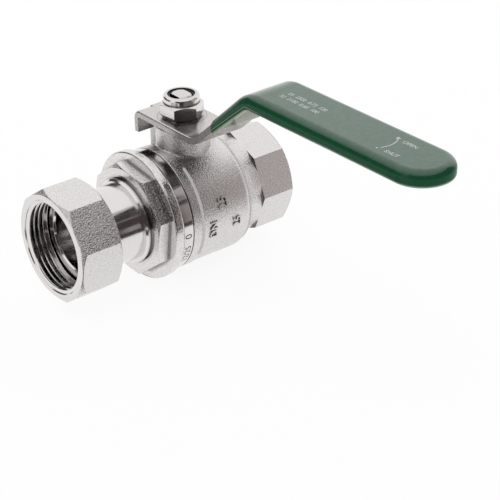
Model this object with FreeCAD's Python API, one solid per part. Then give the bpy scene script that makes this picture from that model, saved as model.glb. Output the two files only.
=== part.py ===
import FreeCAD, Part
import math
import os

# Isolating valve with a union nut on one side and a female thread on the other, in millimetres.
# The shapes are drawn about the stem, which stands on Z where it crosses the pipe line X.
# At the end they are moved so that x = 0 lies just inside the outlet, where its full thread begins.
os.makedirs("parts", exist_ok=True)
V = FreeCAD.Vector

# Overshoot of cutting tools, small and large
over = 1.0
far = 200.0

# Flow way, ball and seats
flow_r = 12.5
ball_land = 7.0
ball_gap = 0.25
bore_edge = 0.5
cavity_gap = 0.9
seat_bore_gap = 0.3
seat_wall = 5.0
seat_fit = 0.05
seat_behind = 2.16
seat_rim = 1.3
seat_nose = 0.15
seat_edge = 0.5
pocket_lead = 0.2

# Body casting, from the joint with the end cap to the outlet
body_wall = 3.55
rim_step = 0.4
rim_len = 5.6
rim_slope = 0.5
turned_edge = 0.3
ridge_run = 2.4
ridge_drop = 1.15
ridge_bulge = 0.3
throat_wall = 2.6
throat_run = 5.0
throat_round = 0.95
shoulder_clear = 0.5
outlet_reach = 26.35
outlet_wall = 6.13
outlet_hex_len = 17.5
outlet_bevel_len = 1.2
outlet_face_inset = 0.05
outlet_thread_r = 16.62
outlet_thread_len = 16.1
outlet_runout = 1.5
outlet_lead = 0.8
origin_inset = 1.6
octagon_sides = 8
octagon_lap = 2.0

# Neck and stop rib
neck_r = 12.0
neck_len = 14.1
neck_mouth = 0.6
foot_round = 1.3
rib_half = 3.3
rib_reach = 20.8
rib_corner_r = 1.0
rib_valley_r = 2.0
stop_gap = 0.35

# End cap that screws into the body
cap_nose_gap = 0.45
cap_thread_len = 7.34
cap_thread_step = 2.8
cap_thread_lead = 0.6
thread_fit = 0.05
depth_gap = 0.3
cap_band_len = 5.3
cap_flange_step = 1.5
cap_flange_len = 5.0
cap_flange_round = 0.8
cap_slope_len = 1.3
cap_slope_end = 0.45
cap_hex_len = 5.7
cap_hex_bevel = 0.7
cap_flats = 47.7
cap_turn = 165.0
face_inset = 0.2

# Round seal between the body and the end cap
seal_wire_r = 1.15
seal_gap = 0.05
seal_sink = 1.6
seal_side_gap = 0.15

# Union tail that screws into the end cap
tail_out = 28.2
tail_bore_step = 2.5
tail_wall = 2.5
tail_bore_lead = 0.8
tail_bore_flare = 0.6
tail_taper_len = 9.0
tail_collar_step = 1.8
tail_collar_len = 2.8
tail_collar_foot = 0.9
tail_collar_edge = 0.4
tail_collar_rise = 0.5
tail_collar_top = 0.8
tail_groove_deep = 0.7
tail_spigot_wall = 4.1
tail_spigot_len = 9.7
tail_flange_step = 1.6
tail_flange_len = 2.9

# Union nut
nut_wall = 3.045
nut_len = 20.5
nut_turn = 166.5
nut_bevel = 1.9
nut_rear_bevel = 2.0
nut_face_inset = 0.2
nut_flange_gap = 1.855
nut_lead = 0.5
nut_tail_gap = 0.35
nut_seat_gap = 0.3
nut_reach = 11.25
nut_relief = 0.5
nut_relief_lap = 0.25
nut_rear_edge = 0.5

# Stem, its seals and thrust washer
stem_r = 6.5
stem_fit = 0.08
stem_flange_r = 8.4
stem_flange_gap = 0.3
stem_flange_len = 2.1
spot_gap = 0.35
washer_len = 1.1
washer_gap = 0.1
tang_wide = 7.6
tang_long = 15.0
tang_deep = 3.3
slot_gap = 0.2
slot_under = 0.4
ring_wire_r = 0.75
ring_gap = 0.05
ring_side_gap = 0.2
ring_low_rise = 4.0
ring_pitch = 4.5
stem_thread_r = 5.0
stem_tip = 0.8
stem_sink = 0.1
stem_flats = 6.8

# Lock nut and its plastic ring
lock_flats = 17.0
lock_sides = 6
lock_len = 10.5
lock_foot_r = 8.1
lock_foot_len = 0.8
lock_low_bevel = 0.9
lock_hex_len = 6.9
lock_top_bevel = 1.0
lock_top_inset = 0.2
lock_groove_len = 0.4
lock_groove_r = 7.8
lock_collar_r = 8.1
lock_collar_round = 1.3
lock_mouth_r = 6.14
lock_lip = 0.7
lock_wall = 0.8
lock_turn = -86.5
lock_lead = 0.6
insert_len = 2.6
insert_fit = 0.05
insert_sink = 0.02

# Lever strip with its stop tab
strip = 3.0
lever_gap = 0.4
plate_half = 11.95
plate_corner_r = 4.0
plate_roll = 0.8
tab_inset = 0.9
tab_clear = 0.7
tab_step = 1.3
tab_bend_r = 2.8
hub_bend_u = 22.95
low_bend_r = 12.0
rise_angle = 41.6
high_bend_r = 15.0
handle_rise = 33.74
handle_end = 162.3
lever_hole_gap = 0.12

# Sleeve over the handle
sleeve_wall = 1.0
sleeve_side = 1.3
sleeve_fit = 0.05
sleeve_round = 3.6
sleeve_deep = 6.7
sleeve_mouth_u = 37.4
mouth_lean = 13.0
mouth_lead = 4.0
skirt_spread = 2.5
skirt_bend_r = 6.0
lip_wide = 3.3
lip_round = 1.1
vent_r = 0.75
vent_x = -6.0
vent_u = 41.6

# Sizes that follow from the driving sizes
ball_r = flow_r + ball_land
face_r = ball_r + ball_gap
cavity_r = ball_r + cavity_gap
seat_bore_r = flow_r + seat_bore_gap
seat_r = seat_bore_r + seat_wall
seat_face_r = seat_r - seat_rim
pocket_r = seat_r + seat_fit
seat_back_x = math.sqrt(face_r ** 2 - seat_bore_r ** 2) + seat_behind
seat_nose_x = math.sqrt(face_r ** 2 - seat_face_r ** 2) + seat_nose
cap_nose_x = -math.sqrt((ball_r + cap_nose_gap) ** 2 - pocket_r ** 2)
joint_x = cap_nose_x - cap_thread_len
outlet_x = seat_back_x + outlet_reach
cap_thread_r = cavity_r + cap_thread_step
seal_groove_r = cap_thread_r - seal_sink
seal_ring_r = seal_groove_r + seal_wire_r
seal_bore_r = seal_ring_r + seal_wire_r + seal_gap
seal_len = 2 * (seal_wire_r + seal_side_gap)
body_r = seal_bore_r + body_wall
rim_r = body_r + rim_step
ridge_r = body_r - ridge_drop
throat_r = cavity_r + throat_wall
cap_flange_r = rim_r + cap_flange_step
outlet_flats = 2 * (outlet_thread_r + outlet_wall)
cap_band_x = joint_x - cap_band_len
cap_flange_x = cap_band_x - cap_flange_len
cap_face_x = cap_flange_x - cap_hex_len
tail_face_x = cap_face_x - tail_out
tail_bore_r = flow_r + tail_bore_step
tail_r = tail_bore_r + tail_wall
tail_spigot_r = flow_r + tail_spigot_wall
tail_collar_r = tail_r + tail_collar_step
tail_flange_r = tail_r + tail_flange_step
nut_thread_r = tail_flange_r + nut_flange_gap
nut_flats = 2 * (nut_thread_r + nut_wall)
nut_shoulder_x = tail_face_x + tail_flange_len + nut_seat_gap
nut_front_x = tail_face_x - nut_reach
nut_rear_x = nut_front_x + nut_len
stem_bore_r = stem_r + stem_fit
stem_flange_bottom = ball_r + stem_flange_gap
tang_bottom = ball_r - tang_deep
flange_top = stem_flange_bottom + stem_flange_len
washer_top = flange_top + washer_len
ring_low_z = washer_top + ring_low_rise
ring_high_z = ring_low_z + ring_pitch
groove_r = stem_bore_r - ring_gap - 2 * ring_wire_r
neck_top = washer_top + neck_len
strip_bottom = neck_top + lever_gap
hub_top = strip_bottom + strip
lock_top = hub_top + lock_len
stem_top = lock_top - stem_sink
insert_top = lock_top - lock_lip
insert_bottom = insert_top - insert_len
tab_outer = rib_reach - tab_inset
tab_bottom = cap_flange_r + tab_clear
tab_edge_x = -rib_half - stop_gap
plate_end = tab_outer - tab_step
handle_top = hub_top + handle_rise
steel_top = handle_top - sleeve_wall
sleeve_half = plate_half + sleeve_fit + sleeve_side
rise = math.radians(rise_angle)


def closed(points):
    """Face of a closed outline. An item is a point, or a pair of points for an arc through one to the other."""
    edges = []
    here = points[0]
    for item in points[1:] + [points[0]]:
        if isinstance(item[0], tuple):
            through, end = item
            edges.append(Part.Arc(V(*here), V(*through), V(*end)).toShape())
            here = end
        elif item != here:
            edges.append(Part.makeLine(V(*here), V(*item)))
            here = item
    return Part.Face(Part.Wire(edges))


def lifted(points):
    """Pairs of numbers laid out in the plane of X and Z, arcs kept."""
    out = []
    for p in points:
        if isinstance(p[0], tuple):
            out.append(((p[0][0], 0.0, p[0][1]), (p[1][0], 0.0, p[1][1])))
        else:
            out.append((p[0], 0.0, p[1]))
    return out


def turned_x(points):
    """Solid turned about the pipe line from pairs of length and radius."""
    return closed(lifted(points)).revolve(V(0, 0, 0), V(1, 0, 0), 360)


def turned_z(points):
    """Solid turned about the stem from pairs of radius and height."""
    return closed(lifted(points)).revolve(V(0, 0, 0), V(0, 0, 1), 360)


def rod_z(r, z0, z1):
    return Part.makeCylinder(r, z1 - z0, V(0, 0, z0), V(0, 0, 1))


def corner_r(sides, flats):
    return flats / 2 / math.cos(math.pi / sides)


def corner_angles(sides, turn):
    return [math.radians(turn) + k * 2 * math.pi / sides for k in range(sides)]


def prism_x(sides, flats, turn, x0, x1):
    """Regular prism along the pipe line, a corner at the angle turn from +Y."""
    r = corner_r(sides, flats)
    pts = [(x0, r * math.cos(a), r * math.sin(a)) for a in corner_angles(sides, turn)]
    return closed(pts).extrude(V(x1 - x0, 0, 0))


def prism_z(sides, flats, turn, z0, z1):
    """Regular prism along the stem, a corner at the angle turn from +X."""
    r = corner_r(sides, flats)
    pts = [(r * math.cos(a), r * math.sin(a), z0) for a in corner_angles(sides, turn)]
    return closed(pts).extrude(V(0, 0, z1 - z0))


def box(x0, x1, y0, y1, z0, z1):
    return Part.makeBox(x1 - x0, y1 - y0, z1 - z0, V(x0, y0, z0))


def upright(edge):
    ends = edge.Vertexes
    return len(ends) == 2 and abs(ends[0].Z - ends[1].Z) > 1.0 and abs(ends[0].X - ends[1].X) < 0.01


def valve_body():
    """Casting: round chamber, octagon with the outlet thread, neck and stop rib in one piece."""
    hex_x = outlet_x - outlet_hex_len
    solid = chamber(hex_x).fuse([outlet_octagon(hex_x), neck_with_rib()]).removeSplitter()
    solid = solid.makeFillet(foot_round, foot_edges(solid))
    solid = solid.fuse(joint_rim()).removeSplitter()
    return solid.cut(body_hollow())


def chamber(hex_x):
    """Round chamber that narrows over a ridge to the throat before the octagon."""
    shoulder_x = neck_r + foot_round + shoulder_clear
    ridge_x = shoulder_x + ridge_run
    bulge = ((shoulder_x + ridge_x) / 2, body_r - ridge_drop * ridge_bulge)
    return turned_x([
        (joint_x, 0.0), (joint_x, body_r), (shoulder_x, body_r), (bulge, (ridge_x, ridge_r)),
        ((ridge_x + throat_run, throat_r + throat_round), (hex_x, throat_r)),
        (hex_x + octagon_lap, throat_r), (hex_x + octagon_lap, 0.0)])


def outlet_octagon(hex_x):
    rc = corner_r(octagon_sides, outlet_flats)
    blank = turned_x([(hex_x, 0.0), (hex_x, rc), (outlet_x - outlet_bevel_len, rc),
                      (outlet_x, outlet_flats / 2 - outlet_face_inset), (outlet_x, 0.0)])
    return blank.common(prism_x(octagon_sides, outlet_flats, 180.0, hex_x, outlet_x))


def neck_with_rib():
    """Round neck and the stop rib behind it, with soft valleys and corners."""
    solid = rod_z(neck_r, 0.0, neck_top).fuse(box(-rib_half, rib_half, 0.0, rib_reach, 0.0, neck_top))
    solid = solid.removeSplitter()
    sides = [e for e in solid.Edges if upright(e) and abs(abs(e.CenterOfMass.x) - rib_half) < 0.01]
    valleys = [e for e in sides if e.CenterOfMass.y < neck_r + 0.1]
    solid = solid.makeFillet(rib_valley_r, valleys)
    corners = [e for e in solid.Edges if upright(e) and e.CenterOfMass.y > rib_reach - 0.1]
    return solid.makeFillet(rib_corner_r, corners)


def foot_edges(solid):
    """Edges where the neck and the rib meet the round chamber."""
    found = []
    for e in solid.Edges:
        mid = e.valueAt((e.FirstParameter + e.LastParameter) / 2)
        near = neck_r - 0.5 < math.hypot(mid.x, mid.y) < rib_reach + 3.0 and mid.z > 0.0
        on_chamber = abs(math.hypot(mid.y, mid.z) - body_r) < 0.05
        seam = e.Curve.TypeId == "Part::GeomLine" and abs(mid.y) < neck_r
        if near and on_chamber and not seam:
            found.append(e)
    return found


def joint_rim():
    """Machined rim at the joint with the end cap, one small step proud of the chamber."""
    rim_end = joint_x + rim_len
    inner_r = seal_bore_r + body_wall / 2
    return turned_x([
        (joint_x, inner_r), (joint_x, rim_r - turned_edge), (joint_x + turned_edge, rim_r), (rim_end, rim_r),
        (rim_end + 2 * rim_slope, rim_r - 2 * rim_step), (rim_end + 2 * rim_slope, inner_r)])


def body_hollow():
    """Everything bored out of the casting, as one tool."""
    thread_bore_r = cap_thread_r + thread_fit
    thread_end = cap_nose_x + depth_gap
    pocket_x = seat_nose_x + pocket_lead
    runout_x = outlet_x - outlet_thread_len
    way = turned_x([
        (joint_x - over, 0.0), (joint_x - over, seal_bore_r), (joint_x + seal_len, seal_bore_r),
        (joint_x + seal_len, thread_bore_r), (thread_end, thread_bore_r), (thread_end, cavity_r),
        (pocket_x, cavity_r), (pocket_x, pocket_r), (seat_back_x, pocket_r), (seat_back_x, flow_r),
        (runout_x - outlet_runout, flow_r), (runout_x, outlet_thread_r),
        (outlet_x - outlet_lead, outlet_thread_r), (outlet_x, outlet_thread_r + outlet_lead),
        (outlet_x + over, outlet_thread_r + outlet_lead),
        (outlet_x + over, 0.0)])
    spot = rod_z(stem_flange_r + spot_gap, cavity_r / 2, washer_top)
    bore = rod_z(stem_bore_r, cavity_r / 2, neck_top + over)
    mouth_r = stem_bore_r + neck_mouth
    mouth = turned_z([(0.0, neck_top - neck_mouth), (stem_bore_r, neck_top - neck_mouth), (mouth_r, neck_top),
                      (mouth_r, neck_top + over), (0.0, neck_top + over)])
    return way.fuse([spot, bore, mouth])


def end_cap():
    """Octagon, cast flange and machined band outside; thread, seal groove and seat pocket inside."""
    return cap_octagon().fuse(cap_collar()).removeSplitter().cut(cap_hollow())


def cap_octagon():
    rc = corner_r(octagon_sides, cap_flats)
    lap_x = cap_flange_x + turned_edge
    blank = turned_x([(cap_face_x, 0.0), (cap_face_x, cap_flats / 2 - face_inset), (cap_face_x + cap_hex_bevel, rc),
                      (lap_x, rc), (lap_x, 0.0)])
    return blank.common(prism_x(octagon_sides, cap_flats, cap_turn, cap_face_x, lap_x))


def cap_collar():
    """Cast flange, machined band and the threaded nose with its seal groove."""
    part_round = cap_flange_round * (1 - math.sqrt(0.5))
    slope_x = cap_band_x - cap_slope_len
    return turned_x([
        (cap_flange_x, 0.0), (cap_flange_x, cap_flange_r - cap_flange_round),
        ((cap_flange_x + part_round, cap_flange_r - part_round), (cap_flange_x + cap_flange_round, cap_flange_r)),
        (slope_x, cap_flange_r), (cap_band_x, rim_r + cap_slope_end), (cap_band_x, rim_r),
        (joint_x - turned_edge, rim_r), (joint_x, rim_r - turned_edge),
        (joint_x, seal_groove_r), (joint_x + seal_len, seal_groove_r), (joint_x + seal_len, cap_thread_r),
        (cap_nose_x - cap_thread_lead, cap_thread_r), (cap_nose_x, cap_thread_r - cap_thread_lead), (cap_nose_x, 0.0)])


def cap_hollow():
    """Spigot hole, flow way and seat pocket of the end cap."""
    spigot_end = cap_face_x + tail_spigot_len + depth_gap
    return turned_x([
        (cap_face_x - over, 0.0), (cap_face_x - over, tail_spigot_r + thread_fit),
        (spigot_end, tail_spigot_r + thread_fit), (spigot_end, flow_r), (-seat_back_x, flow_r),
        (-seat_back_x, pocket_r), (cap_nose_x + over, pocket_r), (cap_nose_x + over, 0.0)])


def union_tail():
    """Turned tube with a flange for the union nut and a spigot that screws into the end cap."""
    x_collar = cap_face_x - tail_collar_len
    x_end = cap_face_x + tail_spigot_len
    x_low = x_collar + tail_collar_rise
    x_high = x_collar + tail_collar_foot
    x_groove = x_high + tail_collar_top
    groove = tail_collar_r - tail_groove_deep
    flange_edge = tail_collar_edge
    return turned_x([
        (tail_face_x, tail_bore_r + tail_bore_flare), (tail_face_x, tail_flange_r - flange_edge),
        (tail_face_x + flange_edge, tail_flange_r), (tail_face_x + tail_flange_len, tail_flange_r),
        (tail_face_x + tail_flange_len, tail_r), (x_collar, tail_r), (x_collar, tail_collar_r - tail_collar_foot),
        (x_low, tail_collar_r - tail_collar_edge), (x_high, tail_collar_r), (x_groove, tail_collar_r),
        (x_groove, groove), (cap_face_x, groove), (cap_face_x, tail_spigot_r),
        (x_end - cap_thread_lead, tail_spigot_r), (x_end, tail_spigot_r - cap_thread_lead), (x_end, flow_r),
        (x_collar, flow_r), (x_collar - tail_taper_len, tail_bore_r), (tail_face_x + tail_bore_lead, tail_bore_r)])


def union_nut():
    """Octagon nut that turns on the tail and is held by the tail's flange."""
    rc = corner_r(octagon_sides, nut_flats)
    hole_r = tail_r + nut_tail_gap
    relief_r = nut_thread_r + nut_relief
    relief_x = nut_front_x + nut_reach - nut_relief_lap
    blank = turned_x([
        (nut_front_x, nut_thread_r + nut_lead), (nut_front_x, nut_flats / 2 - nut_face_inset),
        (nut_front_x + nut_bevel, rc), (nut_rear_x - nut_rear_bevel, rc),
        (nut_rear_x, nut_flats / 2 - nut_face_inset), (nut_rear_x, hole_r + nut_rear_edge),
        (nut_rear_x - nut_rear_edge, hole_r), (nut_shoulder_x, hole_r), (nut_shoulder_x, relief_r),
        (relief_x + nut_relief, relief_r), (relief_x, nut_thread_r), (nut_front_x + nut_lead, nut_thread_r)])
    return blank.common(prism_x(octagon_sides, nut_flats, nut_turn, nut_front_x, nut_rear_x))


def seat_ring(side):
    """Seat ring whose face follows the ball. Side is 1 for the outlet and -1 for the inlet."""
    rm = (seat_bore_r + seat_face_r) / 2
    x0, xm, x1 = [math.sqrt(face_r ** 2 - r ** 2) for r in (seat_bore_r, rm, seat_face_r)]
    ring = turned_x([
        (seat_back_x, seat_bore_r), (x0, seat_bore_r), ((xm, rm), (x1, seat_face_r)), (seat_nose_x, seat_r - seat_edge),
        (seat_nose_x + seat_edge, seat_r), (seat_back_x, seat_r)])
    if side < 0:
        ring = ring.mirror(V(0, 0, 0), V(1, 0, 0))
    return ring


def end_cap_seal():
    return Part.makeTorus(seal_ring_r, seal_wire_r, V(joint_x + seal_len / 2, 0, 0), V(1, 0, 0))


def ball():
    """Shut ball: its bore lies across the pipe and its slot along it."""
    way = Part.makeCylinder(flow_r, 2 * (ball_r + over), V(0, -ball_r - over, 0), V(0, 1, 0))
    solid = Part.makeSphere(ball_r).cut(way)
    rim_y = math.sqrt(ball_r ** 2 - flow_r ** 2)
    rims = [e for e in solid.Edges if abs(abs(e.CenterOfMass.y) - rim_y) < 0.05]
    solid = solid.makeChamfer(bore_edge, rims)
    half = tang_wide / 2 + slot_gap
    return solid.cut(box(-ball_r, ball_r, -half, half, tang_bottom - slot_under, ball_r + over))


def stem():
    """Stem put in from inside: tang, flange, two ring grooves, flats and thread."""
    body = turned_z([
        (0.0, stem_flange_bottom), (stem_flange_r, stem_flange_bottom), (stem_flange_r, flange_top),
        (stem_r, flange_top), (stem_r, strip_bottom), (stem_thread_r, strip_bottom),
        (stem_thread_r, stem_top - stem_tip), (stem_thread_r - stem_tip, stem_top), (0.0, stem_top)])
    half = tang_wide / 2
    tang_top = stem_flange_bottom + stem_flange_len / 2
    tang = box(-tang_long / 2, tang_long / 2, -half, half, tang_bottom, tang_top)
    body = body.fuse(tang.common(rod_z(stem_flange_r, tang_bottom, tang_top)))
    for z in (ring_low_z, ring_high_z):
        body = body.cut(ring_groove(z))
    for side in (-1, 1):
        x0, x1 = sorted((side * stem_flats / 2, side * (stem_thread_r + over)))
        body = body.cut(box(x0, x1, -stem_r, stem_r, strip_bottom, stem_top + over))
    return body


def ring_groove(z):
    half = ring_wire_r + ring_side_gap
    outer = stem_r + over
    return turned_z([(groove_r, z - half), (outer, z - half), (outer, z + half), (groove_r, z + half)])


def stem_ring(z):
    return Part.makeTorus(groove_r + ring_wire_r, ring_wire_r, V(0, 0, z), V(0, 0, 1))


def stem_thrust_washer():
    disc = rod_z(stem_flange_r + washer_gap, flange_top, washer_top)
    return disc.cut(rod_z(stem_r + washer_gap, flange_top, washer_top))


def lever_lock_nut():
    """Hexagon lock nut on a small foot, with a rolled collar that holds a plastic ring."""
    return lock_hexagon().fuse(lock_collar()).removeSplitter().cut(lock_hollow())


def lock_hexagon():
    rc = corner_r(lock_sides, lock_flats)
    af = lock_flats / 2
    z0 = hub_top + lock_foot_len
    z1 = hub_top + lock_hex_len
    blank = turned_z([(0.0, z0), (af, z0), (rc, z0 + lock_low_bevel), (rc, z1 - lock_top_bevel),
                      (af - lock_top_inset, z1), (0.0, z1)])
    hexagon = blank.common(prism_z(lock_sides, lock_flats, lock_turn, z0, z1))
    return hexagon.fuse(rod_z(lock_foot_r, hub_top, z0 + lock_low_bevel)).removeSplitter()


def lock_collar():
    """Collar above a shallow groove, its top rolled inwards."""
    z1 = hub_top + lock_hex_len
    z2 = z1 + lock_groove_len
    part_round = lock_collar_round * (1 - math.sqrt(0.5))
    return turned_z([
        (0.0, z1 - lock_groove_len), (lock_groove_r, z1 - lock_groove_len), (lock_groove_r, z2),
        (lock_collar_r, z2 + lock_groove_len), (lock_collar_r, lock_top - lock_collar_round),
        ((lock_collar_r - part_round, lock_top - part_round), (lock_collar_r - lock_collar_round, lock_top)),
        (0.0, lock_top)])


def lock_hollow():
    """Thread hole, room for the plastic ring and the mouth above it."""
    thread_r = stem_thread_r + thread_fit
    ring_r = lock_collar_r - lock_wall
    lead_z = hub_top + lock_lead
    return turned_z([
        (0.0, hub_top - over), (thread_r + lock_lead, hub_top - over), (thread_r + lock_lead, hub_top),
        (thread_r, lead_z), (thread_r, insert_bottom), (ring_r, insert_bottom), (ring_r, insert_top),
        (lock_mouth_r, insert_top), (lock_mouth_r, lock_top + over), (0.0, lock_top + over)])


def lock_nut_insert():
    ring = rod_z(lock_collar_r - lock_wall - insert_fit, insert_bottom, insert_top - insert_sink)
    return ring.cut(rod_z(stem_thread_r + thread_fit, insert_bottom - over, insert_top + over))


def bent_path(corners, radii, shift):
    """Edges of a bent line through corners (u, z), rounded at the bends and shifted sideways to the left."""
    n = len(corners)
    dirs = []
    for a, b in zip(corners[:-1], corners[1:]):
        d = math.hypot(b[0] - a[0], b[1] - a[1])
        dirs.append(((b[0] - a[0]) / d, (b[1] - a[1]) / d))
    start = corners[0]
    items = [(start[0] - dirs[0][1] * shift, start[1] + dirs[0][0] * shift)]
    for k in range(1, n - 1):
        d0, d1 = dirs[k - 1], dirs[k]
        turn = math.atan2(d0[0] * d1[1] - d0[1] * d1[0], d0[0] * d1[0] + d0[1] * d1[1])
        reach = radii[k - 1] * math.tan(abs(turn) / 2)
        c = corners[k]
        a = (c[0] - d0[0] * reach, c[1] - d0[1] * reach)
        side = 1.0 if turn > 0 else -1.0
        mid = (a[0] - d0[1] * side * radii[k - 1], a[1] + d0[0] * side * radii[k - 1])
        r = radii[k - 1] - side * shift
        first = math.atan2(a[1] - mid[1], a[0] - mid[0])
        p0, pm, p1 = [(mid[0] + r * math.cos(first + turn * part), mid[1] + r * math.sin(first + turn * part))
                      for part in (0.0, 0.5, 1.0)]
        items.append(p0)
        items.append((pm, p1))
    last = corners[-1]
    items.append((last[0] - dirs[-1][1] * shift, last[1] + dirs[-1][0] * shift))
    return items


def back_to_front(items):
    """The same line walked the other way."""
    ends = [i[1] if isinstance(i[0], tuple) else i for i in items]
    out = [ends[-1]]
    for k in range(len(items) - 1, 0, -1):
        if isinstance(items[k][0], tuple):
            out.append((items[k][0], ends[k - 1]))
        else:
            out.append(ends[k - 1])
    return out


def side_solid(items, x0, x1):
    """Outline in (u, z), where u runs to the handle end, pushed across the lever from x0 to x1."""
    points = []
    for p in items:
        if isinstance(p[0], tuple):
            points.append(((x0, -p[0][0], p[0][1]), (x0, -p[1][0], p[1][1])))
        else:
            points.append((x0, -p[0], p[1]))
    return closed(points).extrude(V(x1 - x0, 0, 0))


def plan_solid(points):
    """Plan outline in (x, u) as a tall tool."""
    flat = []
    for p in points:
        if isinstance(p[0], tuple):
            flat.append(((p[0][0], -p[0][1], 0.0), (p[1][0], -p[1][1], 0.0)))
        else:
            flat.append((p[0], -p[1], 0.0))
    return closed(flat).extrude(V(0, 0, far))


def lever_corners(end_u):
    """Bend corners of the middle of the strip, from the hub plate to the handle."""
    h = strip / 2
    low_z = hub_top - h
    high_z = steel_top - h
    u1 = hub_bend_u + h * math.tan(rise / 2)
    u2 = u1 + (high_z - low_z) / math.tan(rise)
    return [(u1, low_z), (u2, high_z), (end_u, high_z)]


def strip_solid(start, start_radii, end_u, grow, x0, x1):
    """The folded strip from its start points to end_u, grown above and below, between x0 and x1."""
    corners = start + lever_corners(end_u)
    radii = start_radii + [low_bend_r, high_bend_r]
    upper = bent_path(corners, radii, strip / 2 + grow)
    lower = bent_path(corners, radii, -strip / 2 - grow)
    return side_solid(upper + back_to_front(lower), x0, x1)


def rounded_end(half, end_u):
    """Plan of the handle with its round end."""
    c = end_u - half
    return plan_solid([(-half, 0.0), (-half, c), ((0.0, end_u), (half, c)), (half, 0.0)])


def mouth_foot():
    """Where the sleeve mouth meets the strip's top line on the rise."""
    return sleeve_mouth_u, hub_top + (sleeve_mouth_u - hub_bend_u) * math.tan(rise)


def beyond_mouth(set_back):
    """Big block on the handle side of the leaning sleeve mouth."""
    u, z = mouth_foot()
    c, s = math.cos(math.radians(mouth_lean)), math.sin(math.radians(mouth_lean))
    u, z = u + c * set_back, z + s * set_back
    above = (u - s * far, z + c * far)
    below = (u + s * far, z - c * far)
    pts = [above, below, (below[0] + c * far, below[1] + s * far), (above[0] + c * far, above[1] + s * far)]
    return side_solid(pts, -far, far)


def skin_edges(solid, up):
    """Edges along both sides and round the end of the skin that faces up (1) or down (-1)."""
    found = []
    for f in solid.Faces:
        uv = f.Surface.parameter(f.CenterOfMass)
        n = f.normalAt(uv[0], uv[1])
        if n.z * up < 0.5 or abs(n.x) > 0.01 or n.y > math.sin(rise) + 0.02:
            continue
        for e in f.Edges:
            ends = e.Vertexes
            across = len(ends) == 2 and abs(ends[0].X - ends[1].X) > 1.0 and e.Curve.TypeId == "Part::GeomLine"
            if not across:
                found.append(e)
    return found


def steel_core(grow):
    """The sleeved part of the strip, with its upper edges rolled over."""
    half = plate_half + grow
    end_u = handle_end - sleeve_side - sleeve_fit + grow
    solid = strip_solid([(0.0, hub_top - strip / 2)], [], end_u, grow, -half, half)
    solid = solid.common(rounded_end(half, end_u)).common(beyond_mouth(-over))
    return solid.makeFillet(sleeve_round - sleeve_wall + grow, skin_edges(solid, 1))


def side_edges(solid, x):
    """Upper edges of one side of a strip."""
    return [e for e in skin_edges(solid, 1) if abs(e.CenterOfMass.x - x) < 0.01]


def hub_strip():
    """Bare part of the lever: the plate on the stem, with the stop tab folded down beside its plain end."""
    middle_z = hub_top - strip / 2
    end_u = handle_end / 2
    tab_start = [(strip / 2 - tab_outer, tab_bottom), (strip / 2 - tab_outer, middle_z)]
    tab_part = strip_solid(tab_start, [tab_bend_r], end_u, 0.0, -plate_half, tab_edge_x)
    tab_part = tab_part.makeFillet(plate_roll, side_edges(tab_part, -plate_half))
    plain_part = strip_solid([(-plate_end, middle_z)], [], end_u, 0.0, tab_edge_x, plate_half)
    c, r = math.sqrt(0.5), plate_corner_r
    plan = plan_solid([
        (tab_edge_x, -plate_end), (plate_half - r, -plate_end),
        ((plate_half - r + r * c, r - r * c - plate_end), (plate_half, r - plate_end)), (plate_half, end_u),
        (tab_edge_x, end_u)])
    plain_part = plain_part.common(plan)
    plain_part = plain_part.makeFillet(plate_roll, side_edges(plain_part, plate_half))
    return tab_part.fuse(plain_part).removeSplitter().cut(beyond_mouth(0.0))


def lever():
    """Flat strip folded twice, with a hole that fits the flats of the stem."""
    hole = rod_z(stem_thread_r + lever_hole_gap, strip_bottom - over, hub_top + over)
    flat = stem_flats / 2 + lever_hole_gap
    hole = hole.common(box(-flat, flat, -stem_r, stem_r, strip_bottom - over, hub_top + over))
    core = steel_core(0.0).common(beyond_mouth(0.0))
    return hub_strip().fuse(core).removeSplitter().cut(hole)


def rise_start(lead, shift):
    """A point on the rise before the mouth, shifted square to the strip's top line."""
    u, z = mouth_foot()
    c, s = math.cos(rise), math.sin(rise)
    return u - s * shift - c * lead, z + c * shift - s * lead


def sleeve_outline(end_u):
    """Side view of the sleeve: its top line, and the lower edge of skirts that deepen towards the handle."""
    corners = [rise_start(mouth_lead, -strip / 2)] + lever_corners(end_u)[1:]
    top = bent_path(corners, [high_bend_r], strip / 2 + sleeve_wall)
    low_z = handle_top - sleeve_deep
    slope = rise - math.radians(skirt_spread)
    u, z = rise_start(0.0, -strip - sleeve_wall)
    start = (u - math.cos(slope) * mouth_lead, z - math.sin(slope) * mouth_lead)
    bend = (u + (low_z - z) / math.tan(slope), low_z)
    return top + back_to_front(bent_path([start, bend, (end_u, low_z)], [skirt_bend_r], 0.0))


def lip_hollow(end_u):
    """Room between the two skirts, below the sleeve's under skin."""
    inner = sleeve_half - lip_wide
    corners = [rise_start(2 * mouth_lead, -strip / 2)] + lever_corners(end_u)[1:]
    roof = bent_path(corners, [high_bend_r], -strip / 2 - sleeve_wall)
    hollow = side_solid(roof + [(end_u, 0.0), (roof[0][0], 0.0)], -inner, inner)
    return hollow.common(rounded_end(inner, handle_end - lip_wide))


def vent():
    """Small hole through the under skin near the mouth."""
    z = hub_top + (vent_u - hub_bend_u) * math.tan(rise) - strip / 2 / math.cos(rise)
    down = V(0, -math.sin(rise), -math.cos(rise))
    return Part.makeCylinder(vent_r, strip + 2 * sleeve_wall, V(vent_x, -vent_u, z), down)


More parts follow.
